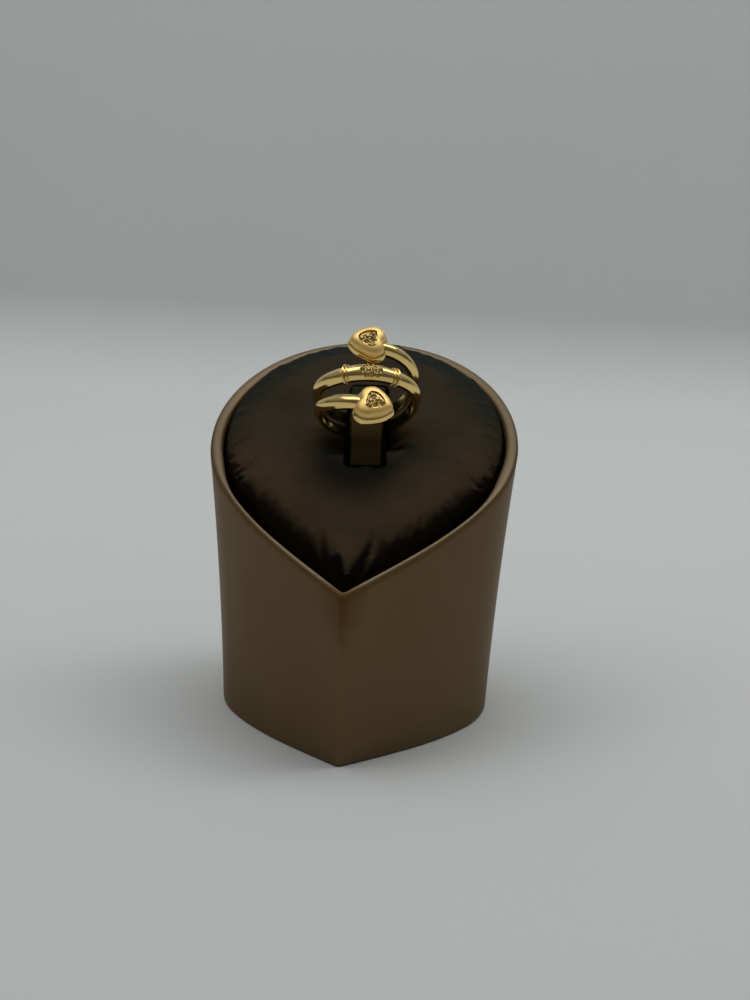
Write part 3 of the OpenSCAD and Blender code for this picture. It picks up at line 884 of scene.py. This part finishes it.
# 18 carat yellow gold, buffed on a wheel: near a mirror, with faint rubbing that softens it
polished_gold = gold_material("polished 18 carat yellow gold", "#f6d68c", 0.12, 0.001, 0.4)
# The same gold, matted with a fine wire brush: a soft bright glow with a dust of fine strokes
satin_gold = gold_material("satin brushed 18 carat yellow gold", "#ffd98c", 0.5, 0.03, 0.3)

band = grow("gold_band", path_mesh, sweep, {"Section": section_object, "Metal": polished_gold})
bpy.data.objects.remove(section_object)


def face_out(piece):
    """Turns all faces of a closed piece outwards, with its doubles merged first."""
    shape = bmesh.new()
    shape.from_mesh(piece.data)
    bmesh.ops.remove_doubles(shape, verts=shape.verts, dist=0.0005 * MM)
    bmesh.ops.recalc_face_normals(shape, faces=shape.faces)
    shape.to_mesh(piece.data)
    shape.free()


face_out(band)
smooth(band, BAND_SHARP)
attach(band, "root")
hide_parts("ring")

# Ring hearts
# Each end of the wrap is soldered into the notch of a puffed heart. Its dome is brushed to a
# satin over a fine groove and a polished wall, and its field is sunk for the stones.
HEART_L = 7.3
FAR_HEART_W = 7.5
NEAR_HEART_W = 7.9
HEART_WALL = 1.1
HEART_H = 3.0
HEART_MIDDLE = 0.1
FIELD_DEPTH = 0.45
FAR_HEART_AT = -6.2
NEAR_HEART_AT = 7.7
FAR_HEART_ROUND = -1
FAR_HEART_TURN = 12
NEAR_HEART_TURN = 21
LOBE_SHARE = 0.31
LOBE_END = 213
FLANK_TURN = 64
TIP_HALF = 58
TIP_R = 1.5
HEART_HOLD = 0.42
NOTCH_DEPTH = 0.2
# Rows of [share of the plan, height over the finger's circle] up the wall and round the groove
HEART_WALL_ROWS = [
    (0.93, 0), (0.975, 0.05), (0.995, 0.15), (1, 0.27), (0.985, 0.42), (0.955, 0.65),
    (0.922, 0.88), (0.9, 1.02), (0.885, 1.07), (0.872, 1.05), (0.864, 1), (0.858, 1.02),
    (0.86, 1.1),
]
# Rows of [step from the groove to the field, share of the plan, height as a share of the dome]
HEART_DOME_ROWS = [
    (0, 0.868, 0.02),
    (0.12, 0.89, 0.14),
    (0.28, 0.888, 0.33),
    (0.44, 0.85, 0.54),
    (0.6, 0.785, 0.73),
    (0.8, 0.67, 0.9),
    (1, 0.535, 0.985),
]
# Rows of [share of the plan, depth under the heart's top] over the field's rim
HEART_FIELD_ROWS = [(0.515, 0.01), (0.5, 0.04), (0.488, 0.12), (0.475, 0.28), (0.465, 0.45)]
HEART_STONE_D = 1.14
HEART_PITCH = 1.24
HEART_ROW = HEART_PITCH * math.sin(math.radians(60))
HEART_STONES = [
    (-HEART_ROW, -HEART_PITCH),
    (-HEART_ROW, 0),
    (-HEART_ROW, HEART_PITCH),
    (0, -HEART_PITCH / 2),
    (0, HEART_PITCH / 2),
    (HEART_ROW, 0),
]
STONE_PROUD = 0.1
SEAT_GAP = 0.05
SEAT_SHOULDER = 0.06
SEAT_CONE = 0.84


def heart_plan(width):
    """The heart's outline: a blunt tip, bulging flanks, round lobes and the notch."""
    lobe_r = width * LOBE_SHARE
    lobe = np.array([lobe_r - HEART_L / 2, width / 2 - lobe_r])
    tip = np.array([HEART_L / 2 - TIP_R, 0])
    start = tip + TIP_R * turned(90 - TIP_HALF)
    end = lobe + lobe_r * turned(FLANK_TURN)
    hold = HEART_HOLD * np.linalg.norm(start - end)
    flank = [
        start,
        start + hold * turned(180 - TIP_HALF),
        end + hold * turned(FLANK_TURN - 90),
        end,
    ]
    side = np.concatenate([
        arc(tip, TIP_R, 4, 90 - TIP_HALF, 5),
        bezier(flank, 13),
        arc(lobe, lobe_r, FLANK_TURN, LOBE_END, 27),
    ])
    notch = [(side[-1, 0] + NOTCH_DEPTH, 0)]
    return np.concatenate([side, notch, side[::-1] * (1, -1)])


def softened(plan, passes=34):
    """The outline with its notch and tip rounded off."""
    for _ in range(passes):
        plan = (np.roll(plan, 1, axis=0) + 2 * plan + np.roll(plan, -1, axis=0)) / 4
    return plan


def heart_ring(width, share, height, matrix):
    """The outline drawn in by a share, and rounder the nearer it is to the field."""
    plan = heart_plan(width)
    amount = min(max((0.97 - share) / 0.4, 0), 1)
    plan = lerp(plan, softened(plan), amount * amount * (3 - 2 * amount))
    drawn = lerp(np.array([HEART_MIDDLE, 0]), plan, share)
    return moved(np.column_stack([drawn, np.full(len(drawn), height)]), matrix)


def seat(matrix, diameter):
    """The hole that a stone is set in."""
    r = diameter / 2 + SEAT_GAP
    shoulder = -SEAT_SHOULDER * diameter
    rings = [
        np.column_stack([arc((0, 0), r * share, 0, 345, 24), np.full(24, height)])
        for share, height in [(0.04, shoulder - SEAT_CONE * r), (1, shoulder), (1, diameter)]
    ]
    return skin("seat", [moved(ring, matrix) for ring in rings])


at_hearts = {
    name: at_ring
    @ Matrix.Rotation(math.radians(turn), 4, "Y")
    @ Matrix.Translation((0, -at, RING_R))
    @ Matrix.Rotation(math.radians(spin), 4, "Z")
    for name, at, turn, spin in [
        ("far_heart", FAR_HEART_AT, FAR_HEART_ROUND, 180 - FAR_HEART_TURN),
        ("near_heart", NEAR_HEART_AT, 0, -NEAR_HEART_TURN),
    ]
}
heart_widths = {"far_heart": FAR_HEART_W, "near_heart": NEAR_HEART_W}


def in_field(name, x, y):
    """A stone's or bead's place in a heart's field, from the field's middle."""
    height = HEART_H - FIELD_DEPTH + STONE_PROUD
    return at_hearts[name] @ Matrix.Translation((HEART_MIDDLE + x, y, height))


for name, matrix in at_hearts.items():
    width = heart_widths[name]
    dome_h = HEART_H - HEART_WALL
    rings = [heart_ring(width, share, height, matrix) for share, height in HEART_WALL_ROWS]
    dome_from = len(rings)
    for step in np.linspace(0, 1, 19):
        share = smooth_value(HEART_DOME_ROWS, step)
        height = HEART_WALL + dome_h * smooth_value(HEART_DOME_ROWS, step, 2)
        rings.append(heart_ring(width, share, height, matrix))
    dome_to = len(rings)
    for share, depth in HEART_FIELD_ROWS:
        rings.append(heart_ring(width, share, HEART_H - depth, matrix))
    heart = skin("gold_" + name, rings)
    heart.data.materials.append(polished_gold)
    heart.data.materials.append(satin_gold)
    count = len(rings[0])
    for face in heart.data.polygons:
        if dome_from <= face.index // count < dome_to - 1:
            face.material_index = 1
    cut(heart, [seat(in_field(name, x, y), HEART_STONE_D) for x, y in HEART_STONES])
    smooth(heart, 30)
    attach(heart, "root")
    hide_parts("ring")

# Ring stones
# Round brilliants of zirconia, sunk to their girdles: ten in three rows over the crest of the
# bar, and six in the field of each heart.
BAR_STONE_D = 0.96
BAR_PITCH = 6.1
BAR_ROW_ANGLE = 33
STONE_LEAN = 13
BAR_STONES = [(k * BAR_PITCH, 0) for k in (-1.5, -0.5, 0.5, 1.5)] + [
    (k * BAR_PITCH, side * BAR_ROW_ANGLE) for side in (-1, 1) for k in (-1, 0, 1)
]


def on_bar(turn, tilt):
    """A place on the bar's crest: by the turn along the bar and the tilt round the crest."""
    width, height = BAND_ROWS[0][1:]
    r = crest_r(width, height)
    return (
        at_ring
        @ Matrix.Rotation(math.radians(turn), 4, "Y")
        @ Matrix.Translation((0, -smooth_value(WRAP_ROWS, turn), RING_R + height - r))
        @ Matrix.Rotation(math.radians(tilt), 4, "X")
        @ Matrix.Translation((0, 0, r))
    )


cut(band, [seat(on_bar(*at), BAR_STONE_D) for at in BAR_STONES])
smooth(band, BAND_SHARP)


# Rows of [points, radius, height, first turn] for a brilliant's rings, from its table down
BRILLIANT_ROWS = [
    (8, 0.56, 0.34, 0),
    (8, 0.8, 0.2, 22.5),
    (16, 1, 0.04, 0),
    (16, 1, -0.04, 0),
    (8, 0.28, -0.66, 22.5),
]
CULET_DEPTH = 0.86


def brilliant():
    """A round brilliant with a radius of 1: 57 facets and its girdle."""
    points = [
        (*(radius * turned(first + i * 360 / count)), height)
        for count, radius, height, first in BRILLIANT_ROWS for i in range(count)
    ]
    points.append((0, 0, -CULET_DEPTH))
    table, star, upper, lower, keel, culet = 0, 8, 16, 32, 48, 56
    faces = [tuple(range(8))]
    for i in range(8):
        after, before = (i + 1) % 8, (i - 1) % 8
        edge, mid, end = 2 * i, 2 * i + 1, 2 * after
        faces += [
            (table + i, star + i, table + after),
            (table + i, star + before, upper + edge, star + i),
            (star + i, upper + edge, upper + mid),
            (star + i, upper + mid, upper + end),
            (upper + edge, lower + edge, lower + mid, upper + mid),
            (upper + mid, lower + mid, lower + end, upper + end),
            (lower + edge, keel + i, lower + mid),
            (lower + mid, keel + i, lower + end),
            (lower + edge, keel + before, culet, keel + i),
        ]
    mesh = bpy.data.meshes.new("brilliant")
    mesh.from_pydata(points, [], faces)
    return bpy.data.objects.new("brilliant", mesh)


setting, given = new_tree("settings", {
    "Places": "Geometry", "Piece": "Object", "Finish": "Material",
})
facing = add(setting, "FunctionNodeAlignRotationToVector", {
    "Vector": named(setting, "facing", "FLOAT_VECTOR"),
}, axis="Z")
squared = add(setting, "FunctionNodeAlignRotationToVector", {
    "Rotation": facing.outputs[0], "Vector": named(setting, "along", "FLOAT_VECTOR"),
}, axis="X", pivot_axis="Z")
whole = add(setting, "GeometryNodeObjectInfo", {"Object": given["Piece"]})
set_pieces = add(setting, "GeometryNodeInstanceOnPoints", {
    "Points": given["Places"],
    "Instance": whole.outputs["Geometry"],
    "Rotation": squared.outputs[0],
    "Scale": named(setting, "size", "FLOAT"),
})
real = add(setting, "GeometryNodeRealizeInstances", {"Geometry": set_pieces.outputs[0]})
finished = add(setting, "GeometryNodeSetMaterial", {
    "Geometry": real.outputs[0], "Material": given["Finish"],
})
add(setting, "NodeGroupOutput", {0: finished.outputs[0]})


def set_in(name, shape, material, places, radius):
    """Copies of one shape at places in millimetres, grown into one piece."""
    mesh = bpy.data.meshes.new(name)
    mesh.from_pydata([m.translation * MM for m in places], [], [])
    carry(mesh, "facing", "FLOAT_VECTOR", [m.to_3x3().col[2] for m in places])
    carry(mesh, "along", "FLOAT_VECTOR", [m.to_3x3().col[0] for m in places])
    carry(mesh, "size", "FLOAT", [radius * MM] * len(places))
    piece = grow(name, mesh, setting, {"Piece": shape, "Finish": material})
    face_out(piece)
    return piece


# Zirconia: clear and hard, with more fire than glass. A cut stone throws back the gold of its
# seat, and here a golden tint of its own stands for most of that.
zirconia, tree, place = new_material("clear cut zirconia")
frost = add(tree, "ShaderNodeTexNoise", {"Vector": place, "Scale": per(0.6)})
polish = add(tree, "ShaderNodeMapRange", {
    "Value": frost.outputs["Fac"], "To Min": 0.0, "To Max": 0.04,
})
gem = add(tree, "ShaderNodeBsdfPrincipled", {
    "Base Color": linear("#c39f4e"),
    "Roughness": polish.outputs[0],
    "IOR": 2.15,
    "Specular Tint": linear("#ffe9a8"),
    "Transmission Weight": 1.0,
})
add(tree, "ShaderNodeOutputMaterial", {"Surface": gem.outputs[0]})


def out_of_true(places):
    """Stones as a setter leaves them, each leaning its own way. The lean is more than a real
    one, so that the small stones flash one by one."""
    return [
        place
        @ Matrix.Rotation(math.radians(137.5 * i), 4, "Z")
        @ Matrix.Rotation(math.radians(STONE_LEAN), 4, "X")
        for i, place in enumerate(places)
    ]


cut_stone = brilliant()
for name in at_hearts:
    places = out_of_true([in_field(name, x, y) for x, y in HEART_STONES])
    stones = set_in(name + "_stones", cut_stone, zirconia, places, HEART_STONE_D / 2)
    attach(stones, "root")
    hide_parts(*[f"{name}_stone_{i}" for i in range(1, 7)])
places = out_of_true([on_bar(*at) for at in BAR_STONES])
stones = set_in("bar_stones", cut_stone, zirconia, places, BAR_STONE_D / 2)
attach(stones, "root")
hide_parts(*[f"bar_stone_{i}" for i in range(1, 11)])
bpy.data.objects.remove(cut_stone)

# Ring beads
# The setter raises a bead of gold at each corner of a stone with a graver, and rounds it with a
# cup tool. A bead between stones holds all those round it.
GRAIN_R = 0.19
HEART_BEADS = [
    (x * HEART_ROW, side * y * HEART_PITCH)
    for side in (-1, 1) for x, y in [(-2 / 3, 0.5), (-4 / 3, 0.5), (-1 / 3, 1), (2 / 3, 0.5)]
] + [(-HEART_ROW / 3, 0), (HEART_ROW / 3, 0)]
BAR_BEADS = [
    (k * BAR_PITCH, side * share * BAR_ROW_ANGLE)
    for side in (-1, 1)
    for share, ks in [
        (0.34, (-1, 0, 1)),
        (0.66, (-1.5, -0.5, 0.5, 1.5)),
        (1.36, (-0.5, 0.5)),
    ]
    for k in ks
]
bead_mesh = bpy.data.meshes.new("bead")
round_bead = bmesh.new()
bmesh.ops.create_icosphere(round_bead, subdivisions=2, radius=1)
round_bead.to_mesh(bead_mesh)
round_bead.free()
bead = bpy.data.objects.new("bead", bead_mesh)
bead_places = [in_field(name, x, y) for name in at_hearts for x, y in HEART_BEADS]
bead_places += [on_bar(*at) for at in BAR_BEADS]
beads = set_in("gold_beads", bead, polished_gold, bead_places, GRAIN_R)
beads.data.shade_smooth()
bpy.data.objects.remove(bead)
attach(beads, "root")
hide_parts("ring")

# Floor and backdrop
# A sheet of pale grey card that lies under the stand and curves up behind it.
FLOOR_FRONT = -1500
FLOOR_BACK = 365
BEND_R = 40
WALL_TOP = 600
FLOOR_HALF = 1600

bend = arc((FLOOR_BACK, BEND_R), BEND_R, -90, 0, 25)
profile_points = np.concatenate([
    [(FLOOR_FRONT, 0)], bend, [(FLOOR_BACK + BEND_R, WALL_TOP)],
])
floor_mesh = bpy.data.meshes.new("backdrop")
floor_mesh.from_pydata(
    [Vector((x, y, z)) * MM for y, z in profile_points for x in (-FLOOR_HALF, FLOOR_HALF)],
    [],
    [(2 * i, 2 * i + 1, 2 * i + 3, 2 * i + 2) for i in range(len(profile_points) - 1)],
)
backdrop = bpy.data.objects.new("backdrop", floor_mesh)
scene.collection.objects.link(backdrop)
smooth(backdrop, 30)

# Matt coated card: its fine tooth gives the floor an even, slightly clouded grey
card, tree, place = new_material("pale grey card")
cloud = add(tree, "ShaderNodeTexNoise", {"Vector": place, "Scale": per(180), "Detail": 2.0})
shade = add(tree, "ShaderNodeMix", {
    0: cloud.outputs["Fac"], 6: linear("#d0d3d3"), 7: linear("#d5d8d8"),
}, data_type="RGBA")
card_shader = add(tree, "ShaderNodeBsdfPrincipled", {
    "Base Color": shade.outputs[2], "Roughness": 0.8, "Specular IOR Level": 0.2,
})
add(tree, "ShaderNodeOutputMaterial", {"Surface": card_shader.outputs[0]})
backdrop.data.materials.append(card)

# Light
# A broad soft light overhead and a smaller one over the backdrop, in a grey room. The room is
# darker low down, and up to eye height in front, where the one who takes the photograph stands.


def area_light(name, size, watts, colour, at, turns):
    """A flat rectangular light: its size and its place in metres, and its turns in degrees."""
    light = bpy.data.objects.new(name, bpy.data.lights.new(name, "AREA"))
    light.data.shape = "RECTANGLE"
    light.data.size, light.data.size_y = size
    light.data.energy = watts
    light.data.color = linear(colour)[:3]
    light.location = at
    light.rotation_euler = [math.radians(turn) for turn in turns]
    scene.collection.objects.link(light)


area_light("overhead", (2.0, 0.42), 4.3, "#fffefa", (0.03, -0.02, 0.95), (0, 0, 17.5))
area_light("over the backdrop", (1.3, 0.35), 2.0, "#fefefc", (0.05, 0.2, 0.75), (35, 0, 0))

world = bpy.data.worlds.new("grey room")
scene.world = world
world.use_nodes = True
tree = world.node_tree
tree.nodes.clear()
way = add(tree, "ShaderNodeTexCoord").outputs["Generated"]
parts = add(tree, "ShaderNodeSeparateXYZ", {0: way})
in_front = add(tree, "ShaderNodeMapRange", {
    "Value": parts.outputs["Y"], "From Min": -0.2, "From Max": -0.75, "To Min": 0.2, "To Max": 0.55,
}, interpolation_type="SMOOTHSTEP")
over_it = add(tree, "ShaderNodeMath", {
    0: parts.outputs["Z"], 1: in_front.outputs[0],
}, operation="SUBTRACT")
level = add(tree, "ShaderNodeMapRange", {
    "Value": over_it.outputs[0], "From Min": 0.0, "From Max": 0.15, "To Min": 0.0, "To Max": 1.0,
}, interpolation_type="SMOOTHSTEP")
room = add(tree, "ShaderNodeMix", {
    0: level.outputs[0], 6: linear("#55514c"), 7: linear("#808284"),
}, data_type="RGBA")
glow = add(tree, "ShaderNodeBackground", {"Color": room.outputs[2], "Strength": 1.0})
add(tree, "ShaderNodeOutputWorld", {"Surface": glow.outputs[0]})
scene.view_settings.view_transform = "Standard"
